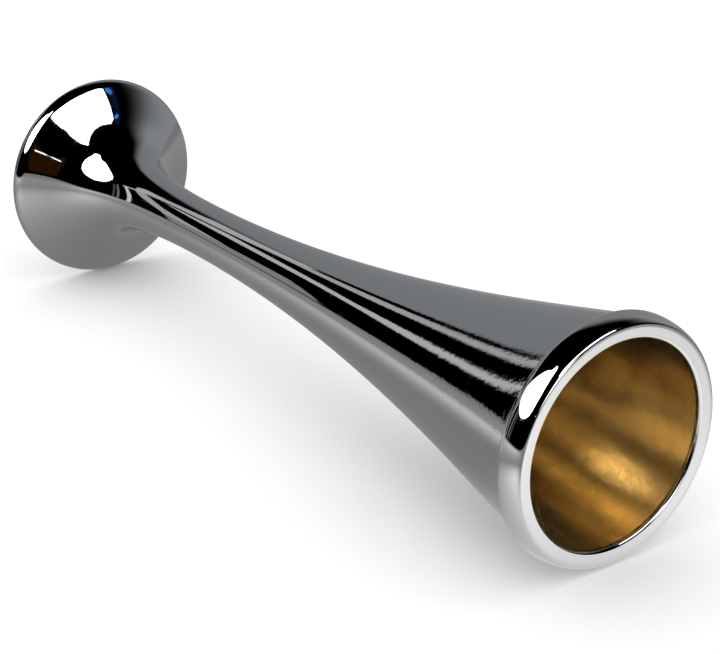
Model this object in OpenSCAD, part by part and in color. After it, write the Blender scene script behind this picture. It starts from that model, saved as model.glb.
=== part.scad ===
// Pinard horn: a metal trumpet that is held between the belly and the ear.
// It lies along X on its ear plate's edge and its bell's bead, and the bell opens towards +X.
// The origin is on the surface it lies on, under the middle of its length.
// Every piece is a solid of revolution about the horn's axis. All sizes are in millimetres.

/* [Overall] */
// Length from the ear plate's outer face to the bell's face
total_len = 182; // [172:1:200]
// Radius of the sound channel through the ear plate and the stem
bore_r = 4; // [3.5:0.1:4.2]

/* [Ear plate] */
// Outer radius of the ear plate
plate_r = 23.7; // [22:0.1:30]
// Rounding of the plate's edge on the ear side
edge_round = 0.75; // [0.5:0.05:1.2]
// Larger rounding from the edge over to the plate's back
back_round = 3; // [2:0.5:4]
// Angle between the plate's back and its face where the flare leaves that rounding
plate_slope = 37; // [33:1:43]
// Radius at which the shallow dish for the ear begins
dish_r = 19; // [15:0.5:20]
// Depth of that dish at the sound channel
dish_depth = 3; // [0.5:0.1:3.5]
// Rounding where the dish meets the sound channel
hole_round = 1; // [0.5:0.1:1.5]
// Share of the flare between plate and neck that belongs to the plate
seam_share = 0.74; // [0.68:0.01:0.82]

/* [Spigot joint] */
// Radius of the spigot on the horn that the ear plate pushes onto
spigot_r = 5; // [4.8:0.05:5.2]
// Length of the spigot
spigot_len = 8; // [6:0.5:10]
// Radial clearance between spigot and socket
socket_gap = 0.05; // [0.03:0.01:0.1]
// Gap between the spigot's end and the bottom of the socket
end_gap = 0.3; // [0.2:0.1:1]
// Chamfer at the spigot's end
spigot_chamfer = 0.4; // [0.2:0.1:0.6]
// Small chamfer on both sides of the seam
seam_break = 0.08; // [0.05:0.01:0.2]

/* [Horn] */
// Distance of the neck, the thinnest place, from the ear plate's face
neck_x = 48; // [44:1:52]
// Outer radius of the neck
neck_r = 6; // [5.8:0.1:7]
// Outer radius of the horn's wall where it meets the rim
wall_r = 22.6; // [22:0.1:23]
// Angle of the wall to the axis where it meets the rim
wall_angle = 11; // [6:1:14]
// Inner radius of the horn's wall at its end
mouth_wall_r = 20.1; // [20:0.1:20.4]
// Angle of that inner wall to the axis at its end
bore_angle = 8; // [5:1:10]

/* [Bell rim] */
// Inner radius of the rim's lip
lip_r = 19.9; // [19.5:0.1:20]
// Rounding of the lip's inner edge
lip_round = 0.7; // [0.4:0.1:0.9]
// Distance from the bell's face to the end of the horn's wall inside the rim
lip_depth = 1.4; // [1.3:0.1:2]
// Outer radius of the rim's face, where the bead begins
face_r = 22.5; // [22.3:0.1:22.8]
// Width of the narrow flat ring at the face's outer edge
face_land = 0.4; // [0.2:0.1:0.8]
// How far the face sinks from that ring to the lip
face_dish = 0.25; // [0.1:0.05:0.3]
// Radius over the bead
bead_r = 23.8; // [23.4:0.1:25]
// Distance of the bead's crest from the bell's face
crest_back = 4.2; // [3:0.1:5]
// Length of the bead from the bell's face to the valley behind it
rim_len = 5.8; // [5.4:0.1:8]
// Radius of the turned seat on the horn that the rim is soldered to
seat_r = 21.4; // [21:0.1:21.6]

/* [Hidden] */
$fn = 96;

// How far the end handles of each curve reach along it
plate_pull = 14.4;
neck_pull = 37;
horn_pull_neck = 64;
horn_pull_bell = 15;
bore_pull_neck = 73;
bore_pull_bell = 30;

// Height of the horn's axis over the surface that it lies on
axis_z = max(plate_r, bead_r);
valley_x = total_len - rim_len;
horn_end_x = total_len - lip_depth;

// Points of a cubic Bezier curve p between its parameters t0 and t1, in n steps
function bezier(p, t) =
    pow(1 - t, 3) * p[0] + 3 * pow(1 - t, 2) * t * p[1] + 3 * (1 - t) * t * t * p[2] + pow(t, 3) * p[3];
function curve(p, t0, t1, n) = [for (i = [0:n]) bezier(p, t0 + (t1 - t0) * i / n)];

// Points of an elliptical arc about centre c with half axes a along x and b along r
function arc(c, a, b, from, to, n) =
    [for (i = [0:n]) let (v = from + (to - from) * i / n) c + [a * cos(v), b * sin(v)]];

// Falls smoothly from 1 at s = 0 to 0 at s = 1
function ease(s) = pow(1 - s, 2) * (1 + 2 * s);

// Profiles hold [x, r] points: x from the ear plate's outer face, r from the horn's axis.
edge_centre = [edge_round, plate_r - edge_round];
back_centre = [edge_round, plate_r - back_round];
back_end = back_centre + back_round * [cos(plate_slope), sin(plate_slope)];
plate_flare = [
    back_end,
    back_end + plate_pull * [sin(plate_slope), -cos(plate_slope)],
    [neck_x - neck_pull, neck_r],
    [neck_x, neck_r],
];
horn_flare = [
    [neck_x, neck_r],
    [neck_x + horn_pull_neck, neck_r],
    [valley_x - horn_pull_bell, wall_r - horn_pull_bell * tan(wall_angle)],
    [valley_x, wall_r],
];
bore_flare = [
    [neck_x, bore_r],
    [neck_x + bore_pull_neck, bore_r],
    [horn_end_x - bore_pull_bell, mouth_wall_r - bore_pull_bell * tan(bore_angle)],
    [horn_end_x, mouth_wall_r],
];
seam = bezier(plate_flare, seam_share);
seam_x = seam[0];
seam_r = seam[1];
spigot_x = seam_x - spigot_len;

// Turns an outline of [x, r] points about the horn's axis
module lathe(profile) {
    translate([-total_len / 2, 0, axis_z])
        rotate([0, 90, 0])
            rotate_extrude()
                polygon([for (p = profile) [p[1], p[0]]]);
}

// The horn's outside: spigot, stem, flare and the turned seat for the rim
module horn_outside() {
    lathe(concat(
        [
            [spigot_x, 0],
            [spigot_x, spigot_r - spigot_chamfer],
            [spigot_x + spigot_chamfer, spigot_r],
            [seam_x, spigot_r],
            [seam_x, seam_r - seam_break],
            [seam_x + seam_break, seam_r],
        ],
        curve(plate_flare, seam_share + 0.02, 1, 8),
        curve(horn_flare, 0.03, 1, 32),
        [[valley_x, seat_r], [horn_end_x, seat_r], [horn_end_x, 0]]
    ));
}

// The cored channel that widens from the stem's bore to the mouth
module horn_channel() {
    past_end = 1;
    lathe(concat(
        [[spigot_x - past_end, 0], [spigot_x - past_end, bore_r]],
        curve(bore_flare, 0, 1, 32),
        [[horn_end_x + past_end, mouth_wall_r], [horn_end_x + past_end, 0]]
    ));
}

module horn() {
    difference() {
        color("silver") horn_outside();
        color("darkgoldenrod") horn_channel();
    }
}

// The rim: a bead outside, a slightly dished face, a rounded lip and a step that caps the horn's end
module bell_rim() {
    crest_x = total_len - crest_back;
    face_x = total_len - face_dish;
    color("gainsboro") lathe(concat(
        [[horn_end_x, lip_r]],
        arc([face_x - lip_round, lip_r + lip_round], lip_round, lip_round, -90, 0, 6),
        [[total_len, face_r - face_land]],
        arc([crest_x, face_r], crest_back, bead_r - face_r, 0, 90, 10),
        arc([crest_x, wall_r], crest_x - valley_x, bead_r - wall_r, 99, 180, 9),
        [[valley_x, seat_r], [horn_end_x, seat_r]]
    ));
}

// The ear plate: a dished disc that flares into the hub with the socket
module ear_plate() {
    socket_r = spigot_r + socket_gap;
    socket_x = spigot_x - end_gap;
    dish_inner_r = bore_r + hole_round;
    dish_width = dish_r - dish_inner_r;
    color("silver") lathe(concat(
        [[seam_x, socket_r], [socket_x, socket_r], [socket_x, bore_r]],
        arc([dish_depth + hole_round, dish_inner_r], hole_round, hole_round, -90, -180, 6),
        [for (i = [1:8]) let (s = i / 8) [dish_depth * ease(s), dish_inner_r + dish_width * s]],
        arc(edge_centre, edge_round, edge_round, 180, 90, 6),
        arc(back_centre, back_round, back_round, 85, plate_slope, 7),
        curve(plate_flare, 0.03, seam_share - 0.01, 20),
        [[seam_x - seam_break, seam_r], [seam_x, seam_r - seam_break]]
    ));
}

horn();
bell_rim();
ear_plate();
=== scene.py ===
"""Looks of the Pinard horn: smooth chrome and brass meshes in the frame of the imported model.

Profiles hold (x, r) points in millimetres: x from the ear plate's outer face, r from the
horn's axis. Lengths and outer radii come from the frame. The other sizes are the part's own.
"""

import math
import random

import bpy
import numpy as np
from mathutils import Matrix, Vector


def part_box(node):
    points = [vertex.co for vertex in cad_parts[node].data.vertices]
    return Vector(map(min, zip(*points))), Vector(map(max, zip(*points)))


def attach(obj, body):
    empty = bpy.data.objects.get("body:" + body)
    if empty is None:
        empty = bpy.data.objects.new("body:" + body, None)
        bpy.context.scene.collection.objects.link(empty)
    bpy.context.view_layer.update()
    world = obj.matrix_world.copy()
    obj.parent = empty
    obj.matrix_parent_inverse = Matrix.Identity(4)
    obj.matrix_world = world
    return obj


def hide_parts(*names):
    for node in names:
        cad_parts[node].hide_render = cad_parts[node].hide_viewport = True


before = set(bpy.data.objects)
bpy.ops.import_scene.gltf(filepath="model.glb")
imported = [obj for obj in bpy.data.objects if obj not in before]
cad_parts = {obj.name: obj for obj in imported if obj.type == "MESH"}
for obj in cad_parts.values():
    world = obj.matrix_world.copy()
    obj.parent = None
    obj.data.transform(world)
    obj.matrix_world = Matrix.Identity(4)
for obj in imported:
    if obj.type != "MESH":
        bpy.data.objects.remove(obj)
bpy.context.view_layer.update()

MM = 0.001

# --- Sizes from the frame, in millimetres -----------------------------------------------
horn_low, horn_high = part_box("horn")
rim_low, rim_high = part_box("bell_rim")
plate_low, plate_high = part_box("ear_plate")
FACE_X = plate_low.x / MM
AXIS_Z = (rim_low.z + rim_high.z) / 2 / MM
TOTAL = (rim_high.x - plate_low.x) / MM
PLATE_R = (plate_high.y - plate_low.y) / 2 / MM
BEAD_R = (rim_high.y - rim_low.y) / 2 / MM
VALLEY_X = rim_low.x / MM - FACE_X
HORN_END_X = horn_high.x / MM - FACE_X
SPIGOT_X = horn_low.x / MM - FACE_X
SEAM_X = plate_high.x / MM - FACE_X

# --- Sizes that repeat the part's design, in millimetres --------------------------------
BORE_R = 4.0
EDGE_ROUND = 0.75
BACK_ROUND = 3.0
PLATE_SLOPE = 37.0
PLATE_PULL = 14.4
DISH_R = 19.0
DISH_DEPTH = 3.0
HOLE_ROUND = 1.0
SPIGOT_R = 5.0
SPIGOT_CHAMFER = 0.4
SOCKET_GAP = 0.05
END_GAP = 0.3
NECK_X = 48.0
NECK_R = 6.0
NECK_PULL = 37.0
WALL_R = 22.6
WALL_ANGLE = math.radians(11)
HORN_PULL_NECK = 64.0
HORN_PULL_BELL = 15.0
MOUTH_WALL_R = 20.1
BORE_ANGLE = math.radians(8)
BORE_PULL_NECK = 73.0
BORE_PULL_BELL = 30.0
LIP_R = 19.9
LIP_ROUND = 0.7
FACE_R = 22.5
FACE_LAND = 0.4
FACE_DISH = 0.25
CREST_BACK = 4.2
SEAT_R = 21.4

# --- Fineness of the meshes -------------------------------------------------------------
SEGMENTS = 384                  # steps round the axis
SHARP = math.radians(28)        # edges sharper than this aren't smoothed
LAND_STEP = 0.1                 # steps along the profile, in millimetres
FACE_STEP = 0.15
CHAMFER_STEP = 0.2
PLATE_STEP = 0.25
END_STEP = 0.4
STEP = 0.5
HUB_STEP = 0.6
SEAT_STEP = 0.8
STEM_STEP = 1.0
EDGE_STEPS = 16                 # steps to an arc
HOLE_STEPS = 10
DISH_STEPS = 40
LIP_STEPS = 14
BEAD_FRONT_STEPS = 40
BEAD_BACK_STEPS = 20
LENGTH_SAMPLES = 400            # samples from which a curve's length is measured
SAME_POINT = 0.002              # points closer than this are one point
SEAM_HALVINGS = 40

# --- Relief of the cast channel, in millimetres -----------------------------------------
CHANNEL_SKIN = 0.3              # points this close to the channel's radius belong to it
WAVES = 32                      # waves in each layer of relief
WAVE_SPREAD = (0.7, 1.5)        # shortest and longest wave, as shares of the layer's size
BIG_HEIGHT, BIG_SIZE, BIG_SEED = 0.05, 14.0, 1
FINE_HEIGHT, FINE_SIZE, FINE_SEED = 0.004, 2.6, 2
RELIEF_START = 40               # distance past the neck at which the relief is full
RELIEF_END = 2                  # distance before the mouth at which it begins to fade

# --- Curves -----------------------------------------------------------------------------
SLOPE_COS, SLOPE_SIN = math.cos(math.radians(PLATE_SLOPE)), math.sin(math.radians(PLATE_SLOPE))
EDGE_CENTRE = (EDGE_ROUND, PLATE_R - EDGE_ROUND)
BACK_CENTRE = (EDGE_ROUND, PLATE_R - BACK_ROUND)
BACK_END = (BACK_CENTRE[0] + BACK_ROUND * SLOPE_COS, BACK_CENTRE[1] + BACK_ROUND * SLOPE_SIN)
PLATE_FLARE = (BACK_END,
               (BACK_END[0] + PLATE_PULL * SLOPE_SIN, BACK_END[1] - PLATE_PULL * SLOPE_COS),
               (NECK_X - NECK_PULL, NECK_R), (NECK_X, NECK_R))
HORN_FLARE = ((NECK_X, NECK_R), (NECK_X + HORN_PULL_NECK, NECK_R),
              (VALLEY_X - HORN_PULL_BELL, WALL_R - HORN_PULL_BELL * math.tan(WALL_ANGLE)),
              (VALLEY_X, WALL_R))
BORE_FLARE = ((NECK_X, BORE_R), (NECK_X + BORE_PULL_NECK, BORE_R),
              (HORN_END_X - BORE_PULL_BELL,
               MOUTH_WALL_R - BORE_PULL_BELL * math.tan(BORE_ANGLE)),
              (HORN_END_X, MOUTH_WALL_R))


def bezier(p, t):
    """The point of a cubic Bezier curve at parameter t."""
    a, b, c, d = (np.array(q, float) for q in p)
    return (1 - t) ** 3 * a + 3 * (1 - t) ** 2 * t * b + 3 * (1 - t) * t * t * c + t ** 3 * d


def curve(p, step, t0=0.0, t1=1.0):
    """Points along a Bezier curve between two parameters, about step apart."""
    fine = np.array([bezier(p, t) for t in np.linspace(t0, t1, LENGTH_SAMPLES)])
    along = np.r_[0, np.cumsum(np.hypot(*np.diff(fine, axis=0).T))]
    count = max(2, int(along[-1] / step))
    wanted = np.linspace(0, along[-1], count + 1)
    return [(np.interp(w, along, fine[:, 0]), np.interp(w, along, fine[:, 1])) for w in wanted]


def arc(centre, half_x, half_r, start, end, count):
    """Points of an elliptical arc, with angles in degrees."""
    angles = np.radians(np.linspace(start, end, count + 1))
    return [(centre[0] + half_x * math.cos(a), centre[1] + half_r * math.sin(a)) for a in angles]


def line(a, b, step):
    """Points of a straight line, both ends included."""
    count = max(1, int(math.dist(a, b) / step))
    return [(a[0] + (b[0] - a[0]) * i / count, a[1] + (b[1] - a[1]) * i / count)
            for i in range(count + 1)]


def joined(*runs):
    """One closed run of points, without the doubles where two runs meet."""
    points = []
    for run in runs:
        for p in run:
            if not points or math.dist(p, points[-1]) > SAME_POINT:
                points.append(p)
    if math.dist(points[0], points[-1]) < SAME_POINT:
        points.pop()
    return points


def seam_parameter():
    """The parameter of the plate's flare at the seam."""
    low, high = 0.0, 1.0
    for _ in range(SEAM_HALVINGS):
        middle = (low + high) / 2
        if bezier(PLATE_FLARE, middle)[0] < SEAM_X:
            low = middle
        else:
            high = middle
    return low


SEAM_T = seam_parameter()
SEAM_R = float(bezier(PLATE_FLARE, SEAM_T)[1])


# --- Meshes -----------------------------------------------------------------------------
def outward(profile):
    """The profile's points in the order that makes the turned faces look outwards."""
    pts = np.array(profile, float)
    area = np.sum(pts[:, 0] * np.roll(pts[:, 1], -1) - np.roll(pts[:, 0], -1) * pts[:, 1])
    return pts[::-1] if area > 0 else pts


def normals(pts):
    """Unit normals at the profile's points."""
    tangent = np.roll(pts, -1, axis=0) - np.roll(pts, 1, axis=0)
    tangent /= np.linalg.norm(tangent, axis=1)[:, None]
    return np.c_[-tangent[:, 1], tangent[:, 0]]


def turned_points(pts, dent):
    """Vertices in metres of the profile turned about the axis, with its relief."""
    angles = np.linspace(0, 2 * math.pi, SEGMENTS, endpoint=False)
    x = np.repeat(pts[:, 0:1], SEGMENTS, axis=1)
    r = np.repeat(pts[:, 1:2], SEGMENTS, axis=1)
    if dent is not None:
        height = dent(pts, angles)
        normal = normals(pts)
        x = x + normal[:, 0:1] * height
        r = r + normal[:, 1:2] * height
    return np.stack([(x + FACE_X) * MM, r * np.cos(angles) * MM,
                     (AXIS_Z + r * np.sin(angles)) * MM], axis=-1).reshape(-1, 3)


def turned_faces(count):
    """Four-cornered faces between neighbouring rings of vertices, closed both ways."""
    i = np.arange(count)[:, None]
    j = np.arange(SEGMENTS)[None]
    i2, j2 = (i + 1) % count, (j + 1) % SEGMENTS
    corners = (i * SEGMENTS + j, i * SEGMENTS + j2, i2 * SEGMENTS + j2, i2 * SEGMENTS + j)
    return np.stack(np.broadcast_arrays(*corners), axis=-1).reshape(-1, 4)


def lathe(name, profile, materials, slots=None, dent=None):
    """A closed ring-shaped mesh: the closed profile turned about the horn's axis.

    slots(points) picks each ring's material; dent(points, angles) is a relief in millimetres.
    """
    pts = outward(profile)
    co, quads = turned_points(pts, dent), turned_faces(len(pts))
    mesh = bpy.data.meshes.new(name)
    mesh.vertices.add(len(co))
    mesh.vertices.foreach_set("co", co.ravel())
    mesh.loops.add(quads.size)
    mesh.loops.foreach_set("vertex_index", quads.ravel().astype(np.int32))
    mesh.polygons.add(len(quads))
    mesh.polygons.foreach_set("loop_start", (np.arange(len(quads)) * 4).astype(np.int32))
    for m in materials:
        mesh.materials.append(m)
    if slots is not None:
        mesh.polygons.foreach_set("material_index", np.repeat(slots(pts), SEGMENTS))
    mesh.polygons.foreach_set("use_smooth", np.ones(len(quads), bool))
    mesh.update(calc_edges=True)
    mesh.validate()
    mesh.set_sharp_from_angle(angle=SHARP)
    return link(name, mesh)


def link(name, mesh):
    """A new object in the scene with this mesh."""
    obj = bpy.data.objects.new(name, mesh)
    bpy.context.scene.collection.objects.link(obj)
    return obj


def waves(pts, angles, size, seed):
    """Smooth seeded relief on the turned surface, about 1 high, with features of this size."""
    pick = random.Random(seed)
    x, r = pts[:, 0:1], pts[:, 1:2]
    total = np.zeros((len(pts), len(angles)))
    for _ in range(WAVES):
        way = Vector((pick.gauss(0, 1), pick.gauss(0, 1), pick.gauss(0, 1))).normalized()
        number = 2 * math.pi / (size * pick.uniform(*WAVE_SPREAD))
        along = way.x * x + r * (way.y * np.cos(angles) + way.z * np.sin(angles))
        total += np.sin(number * along + pick.uniform(0, 2 * math.pi))
    return total / math.sqrt(WAVES)


# --- Piece: horn ------------------------------------------------------------------------
def horn_profile():
    """Spigot, stem, flare and seat outside; the cored channel inside."""
    chamfer_end = (SPIGOT_X + SPIGOT_CHAMFER, SPIGOT_R)
    return joined(
        line((SPIGOT_X, BORE_R), (SPIGOT_X, SPIGOT_R - SPIGOT_CHAMFER), CHAMFER_STEP),
        line((SPIGOT_X, SPIGOT_R - SPIGOT_CHAMFER), chamfer_end, CHAMFER_STEP),
        line(chamfer_end, (SEAM_X, SPIGOT_R), STEP),
        line((SEAM_X, SPIGOT_R), (SEAM_X, SEAM_R), STEP),
        curve(PLATE_FLARE, HUB_STEP, SEAM_T, 1),
        curve(HORN_FLARE, STEP),
        line((VALLEY_X, WALL_R), (VALLEY_X, SEAT_R), END_STEP),
        line((VALLEY_X, SEAT_R), (HORN_END_X, SEAT_R), SEAT_STEP),
        line((HORN_END_X, SEAT_R), (HORN_END_X, MOUTH_WALL_R), END_STEP),
        list(reversed(curve(BORE_FLARE, STEP))),
        line((NECK_X, BORE_R), (SPIGOT_X, BORE_R), STEM_STEP),
    )


def in_channel(pts):
    """True for points on the channel's wall."""
    run = np.array(curve(BORE_FLARE, STEP))
    return pts[:, 1] < np.interp(pts[:, 0], run[:, 0], run[:, 1]) + CHANNEL_SKIN


def horn_slots(pts):
    """Material slots: 0, chrome, outside and 1, bare brass, in the channel."""
    return in_channel(pts).astype(np.int32)


def cast_relief(pts, angles):
    """The rough cast skin of the channel; it fades out at the mouth and in the stem."""
    places = [NECK_X, NECK_X + RELIEF_START, HORN_END_X - RELIEF_END, HORN_END_X]
    fade = np.interp(pts[:, 0], places, [0, 1, 1, 0])
    height = (BIG_HEIGHT * waves(pts, angles, BIG_SIZE, BIG_SEED)
              + FINE_HEIGHT * waves(pts, angles, FINE_SIZE, FINE_SEED))
    return height * (fade * in_channel(pts))[:, None]


# --- Piece: bell rim --------------------------------------------------------------------
def rim_profile():
    """Lip, dished face, bead, and the step that caps the horn's end."""
    crest_x = TOTAL - CREST_BACK
    face_x = TOTAL - FACE_DISH
    return joined(
        [(HORN_END_X, LIP_R)],
        arc((face_x - LIP_ROUND, LIP_R + LIP_ROUND), LIP_ROUND, LIP_ROUND, -90, 0, LIP_STEPS),
        line((face_x, LIP_R + LIP_ROUND), (TOTAL, FACE_R - FACE_LAND), FACE_STEP),
        line((TOTAL, FACE_R - FACE_LAND), (TOTAL, FACE_R), LAND_STEP),
        arc((crest_x, FACE_R), CREST_BACK, BEAD_R - FACE_R, 0, 90, BEAD_FRONT_STEPS),
        arc((crest_x, WALL_R), crest_x - VALLEY_X, BEAD_R - WALL_R, 90, 180, BEAD_BACK_STEPS),
        line((VALLEY_X, WALL_R), (VALLEY_X, SEAT_R), END_STEP),
        line((VALLEY_X, SEAT_R), (HORN_END_X, SEAT_R), SEAT_STEP),
        line((HORN_END_X, SEAT_R), (HORN_END_X, LIP_R), END_STEP),
    )


# --- Piece: ear plate -------------------------------------------------------------------
def dish(inner):
    """The shallow bowl for the ear, from the sound hole's rounding out to the flat ring."""
    run = []
    for s in np.linspace(0, 1, DISH_STEPS)[1:]:
        ease = (1 - s) ** 2 * (1 + 2 * s)
        run.append((DISH_DEPTH * ease, inner + (DISH_R - inner) * s))
    return run


def plate_profile():
    """Dished disc with a rounded edge that flares into the hub with the socket."""
    socket_r = SPIGOT_R + SOCKET_GAP
    socket_x = SPIGOT_X - END_GAP
    hole_x = DISH_DEPTH + HOLE_ROUND
    inner = BORE_R + HOLE_ROUND
    return joined(
        line((SEAM_X, SEAM_R), (SEAM_X, socket_r), END_STEP),
        line((SEAM_X, socket_r), (socket_x, socket_r), STEP),
        line((socket_x, socket_r), (socket_x, BORE_R), END_STEP),
        line((socket_x, BORE_R), (hole_x, BORE_R), SEAT_STEP),
        arc((hole_x, inner), HOLE_ROUND, HOLE_ROUND, -90, -180, HOLE_STEPS),
        dish(inner),
        line((0, DISH_R), (0, PLATE_R - EDGE_ROUND), STEP),
        arc(EDGE_CENTRE, EDGE_ROUND, EDGE_ROUND, 180, 90, EDGE_STEPS),
        arc(BACK_CENTRE, BACK_ROUND, BACK_ROUND, 90, PLATE_SLOPE, EDGE_STEPS),
        curve(PLATE_FLARE, PLATE_STEP, 0, SEAM_T),
    )


# --- Materials --------------------------------------------------------------------------
class Nodes:
    """A short way to write a material's node tree."""

    def __init__(self, name):
        self.material = bpy.data.materials.new(name)
        self.material.use_nodes = True
        self.tree = self.material.node_tree
        self.tree.nodes.clear()

    def add(self, kind, inputs=None, **settings):
        """A node with these settings; an input is a number, a colour or another's output."""
        node = self.tree.nodes.new(kind)
        for key, value in settings.items():
            setattr(node, key, value)
        for key, value in (inputs or {}).items():
            socket = node.inputs[key]
            if isinstance(value, bpy.types.NodeSocket):
                self.tree.links.new(value, socket)
            else:
                socket.default_value = value
        return node

    def place(self):
        """Object coordinates in metres."""
        return self.add("ShaderNodeTexCoord").outputs["Object"]

    def place_mm(self):
        """Object coordinates in millimetres."""
        return self.add("ShaderNodeVectorMath", {0: self.place(), "Scale": 1 / MM},
                        operation="SCALE").outputs[0]

    def part(self, vector, axis):
        """One coordinate of a vector."""
        return self.add("ShaderNodeSeparateXYZ", {0: vector}).outputs[axis]

    def noise(self, vector, size, detail, rough):
        """Noise from about 0 to 1 with features of this size."""
        return self.add("ShaderNodeTexNoise", {"Vector": vector, "Scale": 1 / size,
                                               "Detail": detail,
                                               "Roughness": rough}).outputs["Fac"]

    def math(self, operation, a, b=0.0, clamp=False):
        """One sum, product or function of two values."""
        return self.add("ShaderNodeMath", {0: a, 1: b}, operation=operation,
                        use_clamp=clamp).outputs[0]

    def remap(self, value, source, target=(0.0, 1.0)):
        """The value moved smoothly from one range to another, and kept inside it."""
        return self.add("ShaderNodeMapRange", {
            "Value": value, "From Min": source[0], "From Max": source[1],
            "To Min": target[0], "To Max": target[1]},
            interpolation_type="SMOOTHSTEP").outputs["Result"]

    def blend(self, factor, first, second):
        """A colour between two colours."""
        node = self.add("ShaderNodeMix", {"Factor": factor}, data_type="RGBA")
        node.inputs["A"].default_value = (*first, 1)
        node.inputs["B"].default_value = (*second, 1)
        return node.outputs["Result"]

    def bump(self, height, distance, normal=None):
        """A normal tilted by a height, on top of another one if given."""
        inputs = {"Height": height, "Distance": distance, "Strength": 1.0}
        if normal is not None:
            inputs["Normal"] = normal
        return self.add("ShaderNodeBump", inputs).outputs["Normal"]

    def finish(self, shader):
        """The finished material, with this shader on its surface."""
        out = self.add("ShaderNodeOutputMaterial")
        self.tree.links.new(shader.outputs[0], out.inputs["Surface"])
        return self.material

    def metal(self, colour, rough, normal):
        """The finished material of a bare metal."""
        return self.finish(self.add("ShaderNodeBsdfPrincipled", {
            "Base Color": colour, "Metallic": 1.0, "Roughness": rough, "Normal": normal}))

    def glow(self, colour, strength):
        """The finished material of a surface that only glows."""
        return self.finish(self.add("ShaderNodeEmission", {
            "Color": (*colour, 1), "Strength": strength}))


# A noise is (size of its features in millimetres, detail, roughness). Heights are in
# millimetres. A pair is a range: of the frame's x or z, of a noise, or of what it turns into.
STEM_TINT = (0.56, 0.565, 0.57)
RIM_TINT = (0.60, 0.605, 0.61)
BELL_GRAIN = 0.02
NO_GRAIN = 0.0
GRAIN = (0.9, 3.0, 0.6)
GRAIN_X = (10.0, 88.0)
RIPPLE = (5.0, 1.0, 0.5)
RIPPLE_HEIGHT = 0.004
SMUDGE = (7.0, 4.0, 0.6)
SMUDGE_SEEN = (0.62, 0.85)
SMUDGE_SHARE = (0.0, 0.5)
SMUDGE_DARKER = 0.8
SMUDGE_DULL = (0.5, 0.8)
CHROME_ROUGH = (0.03, 0.09)


def chrome(name, tint, grain):
    """Mirror plating, faintly wavy and smudged; its grain grows towards the bell."""
    n = Nodes(name)
    place = n.place_mm()
    towards_bell = n.remap(n.part(place, "X"), GRAIN_X)
    skin = n.noise(place, *GRAIN)
    height = n.math("MULTIPLY", skin, n.math("MULTIPLY", towards_bell, grain))
    normal = n.bump(height, MM)
    normal = n.bump(n.noise(place, *RIPPLE), RIPPLE_HEIGHT * MM, normal)
    smudge = n.noise(place, *SMUDGE)
    colour = n.blend(n.remap(smudge, SMUDGE_SEEN, SMUDGE_SHARE), tint,
                     [SMUDGE_DARKER * c for c in tint])
    return n.metal(colour, n.remap(smudge, SMUDGE_DULL, CHROME_ROUGH), normal)


# Brass colours: the bright one stands for clean brass in random patches and for painted light low
# in the bell; the dark one stands for brown tarnish in random patches and for painted shade higher
# up.
TARNISH_AND_PAINTED_SHADE = (0.40, 0.30, 0.15)
CLEAN_AND_PAINTED_LIGHT = (0.97, 0.83, 0.55)
PAINTED_LIGHT_Z = (AXIS_Z + 20, AXIS_Z - 12)
PAINTED_LIGHT_SHARE = (0.0, 0.9)
PATCHES = (12.0, 4.0, 0.6)
PATCH_SEEN = (0.35, 0.7)
PATCH_SHARE = (-0.15, 0.35)
SAND = (0.45, 3.0, 0.7)
SAND_HEIGHT = 0.018
SAND_SEEN = (0.35, 0.65)
SAND_SHARE = (-0.22, 0.22)
SAND_DULL = (0.3, 0.7)
BRASS_ROUGH = (0.20, 0.12)
SPECKS = (0.35, 1.0, 0.5)
SPECK_HEIGHT = 0.2
SPECK_SEEN = (0.66, 0.72)


def brass():
    """Bare cast brass: sandy skin in random clean and brown patches, with painted light that makes
    it brighter low in the bell and painted shade that makes it browner above.
    """
    n = Nodes("cast_brass")
    place = n.place_mm()
    sand = n.noise(place, *SAND)
    patches = n.noise(place, *PATCHES)
    specks = n.noise(place, *SPECKS)
    grains = n.math("ADD", n.remap(patches, PATCH_SEEN, PATCH_SHARE),
                    n.remap(sand, SAND_SEEN, SAND_SHARE))
    # Painted light and shade: the colour is brighter low in the bell and browner above, on top of
    # the random patches.
    lit_and_clean = n.math("ADD", n.remap(n.part(place, "Z"), PAINTED_LIGHT_Z, PAINTED_LIGHT_SHARE), grains, clamp=True)
    normal = n.bump(sand, SAND_HEIGHT * MM)
    normal = n.bump(n.remap(specks, SPECK_SEEN), SPECK_HEIGHT * MM, normal)
    return n.metal(n.blend(lit_and_clean, TARNISH_AND_PAINTED_SHADE, CLEAN_AND_PAINTED_LIGHT), n.remap(sand, SAND_DULL, BRASS_ROUGH), normal)


# --- The pieces -------------------------------------------------------------------------
def piece(name, body, node, slot, profile, materials, **extra):
    """A turned piece that rides on a body and stands for a node."""
    obj = lathe(name, profile, materials, **extra)
    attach(obj, body)
    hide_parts(node)


piece("horn_body", "horn", "horn", "plated_brass", horn_profile(),
      [chrome("chrome_horn", STEM_TINT, BELL_GRAIN), brass()], slots=horn_slots, dent=cast_relief)
piece("bell_bead", "horn", "bell_rim", "chrome_rim", rim_profile(),
      [chrome("chrome_rim", RIM_TINT, NO_GRAIN)])
piece("ear_disc", "ear_plate", "ear_plate", "chrome_plate", plate_profile(),
      [chrome("chrome_plate", STEM_TINT, NO_GRAIN)])

# --- Studio that only reflections see ---------------------------------------------------
# Directions are (azimuth, elevation) in degrees; azimuth 0 is +X and 90 is +Y.
PLATE_PLACE = Vector((-0.08, 0, AXIS_Z * MM))
STEM_PLACE = Vector((-0.02, 0, AXIS_Z * MM))
WHITE = (1.0, 1.0, 1.0)
WARM = (1.0, 0.96, 0.88)
PALE = (1.0, 0.99, 0.97)
BEIGE = (1.0, 0.95, 0.86)
BLUE = (0.05, 0.30, 1.0)
DIM_BLUE = (0.03, 0.14, 0.5)
BROWN = (0.30, 0.09, 0.02)

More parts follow.
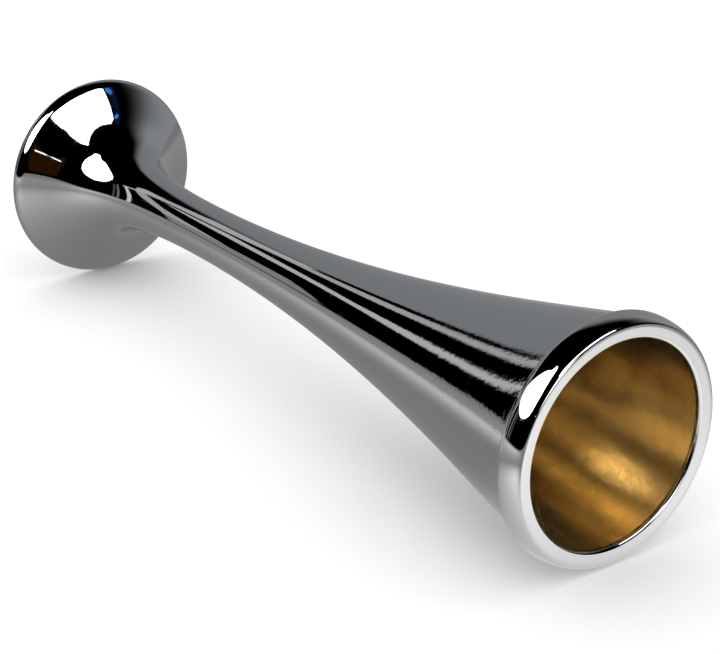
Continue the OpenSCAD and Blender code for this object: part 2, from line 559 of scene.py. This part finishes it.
# Each card: name, where its directions start, distance, outline, colour, strength, rounding
CARDS = (
    ("soft_box_front", PLATE_PLACE, 1.2,
     [(-21, 37), (-26, 43), (-28, 50), (-20, 51), (-6, 52), (10, 53), (26, 53), (38, 52),
      (43, 48), (41, 42), (36, 38), (12, 38), (4, 43), (-4, 44), (-10, 42), (-15, 39)],
     WHITE, 6.0, 0),
    ("soft_box_side", PLATE_PLACE, 0.375,
     [(-63, 24), (-56, 33), (-53, 42), (-53, 51), (-49, 58), (-60, 65), (-72, 61), (-95, 62),
      (-113, 51), (-117, 39), (-107, 27), (-94, 21), (-79, 21)], WHITE, 6.0, 1),
    ("window", PLATE_PLACE, 1.2, [(-14, 6), (-14, 28), (8, 28), (8, 6)], WARM, 3.6, 0),
    ("lamp_dash", PLATE_PLACE, 1.2, [(-39.6, 17.2), (-37, 16.4), (-37, 15.6), (-39.6, 16.3)],
     WHITE, 3.0, 0),
    ("blue_panel", PLATE_PLACE, 1.3, [(44, 46.5), (47, 47), (51, 43.5), (49, 43)], BLUE, 1.2, 1),
    ("blue_wall", PLATE_PLACE, 1.35, [(44, 52), (52, 50), (54, 41), (46, 39)], DIM_BLUE, 0.07, 1),
    ("brown_wall", PLATE_PLACE, 1.4,
     [(-45, 1), (-43, 10), (-41, 21), (-37, 22), (-37, 8), (-40, 1)], BROWN, 0.10, 2),
    # A pale frame that stands to the left behind the plate
    ("frame_top", STEM_PLACE, 1.3,
     [(-179.5, 35), (-165, 36), (-157, 39), (-149, 38), (-143, 33), (-131, 31.5), (-131, 29.5),
      (-143, 31), (-149, 32.5), (-157, 32.5), (-166, 32.5), (-172, 30.5), (-179.5, 30.5)],
     PALE, 0.62, 0),
    ("frame_post_a", STEM_PLACE, 1.3,
     [(-176.5, 31), (-171, 31), (-171, 26), (-172.5, 21), (-176.5, 21)], PALE, 0.54, 0),
    ("frame_post_b", STEM_PLACE, 1.3,
     [(-163.5, 30), (-155.5, 31), (-156, 27), (-158, 20), (-158.5, 13), (-161, 9), (-165, 9),
      (-163, 14), (-161, 20)], PALE, 0.68, 0),
    ("frame_post_c", STEM_PLACE, 1.3,
     [(-148, 32), (-141.5, 33), (-140, 24), (-142.5, 12), (-142.5, 9), (-147.5, 9), (-146, 20)],
     PALE, 0.55, 0),
    ("frame_base", STEM_PLACE, 1.3, [(-151, 9), (-142.5, 9), (-142.5, 0), (-151, 0)],
     BEIGE, 0.34, 0),
    ("frame_post_d", PLATE_PLACE, 1.3, [(-132.5, 31), (-129.5, 31), (-128, -1), (-130.5, -1)],
     PALE, 0.85, 0),
    ("frame_post_e", PLATE_PLACE, 1.3, [(-123, 29), (-121, 29), (-121, 0), (-123, 0)],
     PALE, 0.22, 0),
    ("frame_post_f", PLATE_PLACE, 1.3, [(-119, 27), (-117, 27), (-117, 0), (-119, 0)],
     PALE, 0.10, 0),
)
CARD_STEPS = 4                  # parts that each side of a card's outline is divided into
ROUNDING = 0.25                 # share of each side that one rounding cuts off at both ends


def direction(azimuth, elevation):
    """Unit vector in this direction."""
    a, e = math.radians(azimuth), math.radians(elevation)
    return Vector((math.cos(e) * math.cos(a), math.cos(e) * math.sin(a), math.sin(e)))


def reflected_only(obj):
    """Marks a stage object that shows in reflections, and casts no light or shadow on the floor."""
    obj.visible_camera = False
    obj.visible_shadow = False
    obj.visible_diffuse = False


def rounded(outline, times):
    """The closed outline with its corners cut this many times."""
    for _ in range(times):
        ahead = np.roll(outline, -1, axis=0)
        outline = np.stack([(1 - ROUNDING) * outline + ROUNDING * ahead,
                            ROUNDING * outline + (1 - ROUNDING) * ahead], axis=1).reshape(-1, 2)
    return outline


def divided(outline):
    """The closed outline with more points, so that long sides follow the curved card."""
    step = (np.roll(outline, -1, axis=0) - outline) / CARD_STEPS
    return np.concatenate([outline[:, None] + step[:, None] * k for k in range(CARD_STEPS)],
                          axis=1).reshape(-1, 2)


def card(name, seen_from, distance, corners, colour, strength, rounding):
    """A glowing patch on a sphere; its outline runs through these directions."""
    outline = divided(rounded(np.array(corners, float), rounding))
    middle = outline.mean(axis=0)
    pts = [seen_from + direction(*p) * distance for p in [middle, *outline]]
    count = len(outline)
    mesh = bpy.data.meshes.new(name)
    mesh.from_pydata(pts, [], [(0, 1 + i, 1 + (i + 1) % count) for i in range(count)])
    mesh.materials.append(Nodes(name).glow(colour, strength))
    reflected_only(link(name, mesh))


# The grey paper sweep: ranges of azimuth or elevation, and what they turn into
SWEEP_RADIUS = 1.6
SWEEP_RINGS, SWEEP_SEGMENTS = 32, 64
SWEEP_COLOUR = (0.96, 1.0, 1.05)
SWEEP_BEGINS = (60.0, 92.0)
SWEEP_ENDS = (179.0, 179.6)
TOP_RISES, RISE = (100.0, 142.0), (33.0, 47.0)
TOP_DROPS, DROP = (155.0, 179.0), (0.0, 13.0)
SOFT_AZIMUTH, SOFTNESS = (90.0, 165.0), (16.0, 4.0)
GREY_AZIMUTH, GREY = (95.0, 130.0), (0.37, 0.29)
EITHER_SIDE = (-1.0, 1.0)
FADE_OUT = (1.0, 0.0)


def sweep_material():
    """Grey paper behind the horn, fading up into the dark room; it ends in a straight edge."""
    n = Nodes("paper_sweep")
    unit = n.add("ShaderNodeVectorMath", {0: n.place()}, operation="NORMALIZE").outputs[0]
    turn = n.math("ARCTAN2", n.part(unit, "Y"), n.part(unit, "X"))
    azimuth = n.math("DEGREES", turn)
    elevation = n.math("DEGREES", n.math("ARCSINE", n.part(unit, "Z")))
    top = n.math("SUBTRACT", n.remap(azimuth, TOP_RISES, RISE), n.remap(azimuth, TOP_DROPS, DROP))
    over = n.math("DIVIDE", n.math("SUBTRACT", elevation, top),
                  n.remap(azimuth, SOFT_AZIMUTH, SOFTNESS))
    fade = n.remap(over, EITHER_SIDE, FADE_OUT)
    side = n.math("MULTIPLY", n.remap(azimuth, SWEEP_BEGINS),
                  n.remap(azimuth, SWEEP_ENDS, FADE_OUT))
    grey = n.remap(azimuth, GREY_AZIMUTH, GREY)
    strength = n.math("MULTIPLY", n.math("MULTIPLY", fade, side), grey)
    return n.glow(SWEEP_COLOUR, strength)


def surround():
    """The sphere of grey paper and dark room round the horn."""
    bpy.ops.mesh.primitive_uv_sphere_add(segments=SWEEP_SEGMENTS, ring_count=SWEEP_RINGS,
                                         radius=SWEEP_RADIUS)
    obj = bpy.context.object
    obj.name = "surround"
    obj.data.materials.append(sweep_material())
    reflected_only(obj)


# The table: its glow, and pools of light with their centre x and y, radius and extra glow
TABLE_HALF = 1.0
TABLE_COLOUR = (1.0, 0.985, 0.98)
TABLE_GLOW = 0.30
TABLE_POOLS = ((0.13, 0.02, 0.095, 1.1), (0.09, -0.075, 0.07, 0.8), (-0.065, -0.085, 0.085, 0.45),
               (-0.08, -0.42, 0.42, 0.5), (-0.1, 0.2, 0.2, 0.1))


def table_material():
    """Grey table as the chrome sees it, with pools of light on it."""
    n = Nodes("table_top")
    place = n.place()
    strength = TABLE_GLOW
    for x, y, radius, amount in TABLE_POOLS:
        off = n.add("ShaderNodeVectorMath", {0: place, 1: (x, y, 0.0)},
                    operation="DISTANCE").outputs["Value"]
        strength = n.math("ADD", n.remap(off, (0.0, radius), (amount, 0.0)), strength)
    return n.glow(TABLE_COLOUR, strength)


def square(name, half, material):
    """A flat square on the surface that the horn lies on."""
    mesh = bpy.data.meshes.new(name)
    mesh.from_pydata([(-half, -half, 0), (half, -half, 0), (half, half, 0), (-half, half, 0)],
                     [], [(0, 1, 2, 3)])
    mesh.materials.append(material)
    return link(name, mesh)


surround()
reflected_only(square("table_top", TABLE_HALF, table_material()))
for row in CARDS:
    card(*row)

# --- Floor and daylight -----------------------------------------------------------------
FLOOR_HALF = 3.0
FLOOR_GRAIN = (3.0, 3.0, 0.5)
FLOOR_DARK, FLOOR_LIGHT = (0.94, 0.94, 0.94), (0.97, 0.97, 0.97)
DAYLIGHT = 1.2


def floor_material():
    """Pale matt floor with a faint grain."""
    n = Nodes("pale_floor")
    grain = n.noise(n.place_mm(), *FLOOR_GRAIN)
    return n.finish(n.add("ShaderNodeBsdfDiffuse",
                          {"Color": n.blend(grain, FLOOR_DARK, FLOOR_LIGHT)}))


def daylight():
    """Even light from all round; reflections don't see it."""
    world = bpy.data.worlds.new("studio")
    bpy.context.scene.world = world
    world.use_nodes = True
    background = world.node_tree.nodes["Background"]
    background.inputs["Color"].default_value = (*WHITE, 1)
    background.inputs["Strength"].default_value = DAYLIGHT
    world.cycles_visibility.glossy = False


floor = square("floor", FLOOR_HALF, floor_material())
floor.visible_glossy = False
daylight()

# --- Camera -----------------------------------------------------------------------------
CAMERA_PLACE = (0.30778, -0.2159, 0.17674)
CAMERA_AZIMUTH = 53.59
CAMERA_ELEVATION = 23.27
LENS = 97.5
SENSOR = 36
NEAREST = 0.01

data = bpy.data.cameras.new("camera")
data.lens = LENS
data.sensor_width = SENSOR
data.clip_start = NEAREST
camera = link("camera", data)
camera.location = CAMERA_PLACE
camera.rotation_euler = (math.radians(90 - CAMERA_ELEVATION), 0, math.radians(CAMERA_AZIMUTH))
bpy.context.scene.camera = camera
bpy.context.scene.view_settings.view_transform = "Standard"
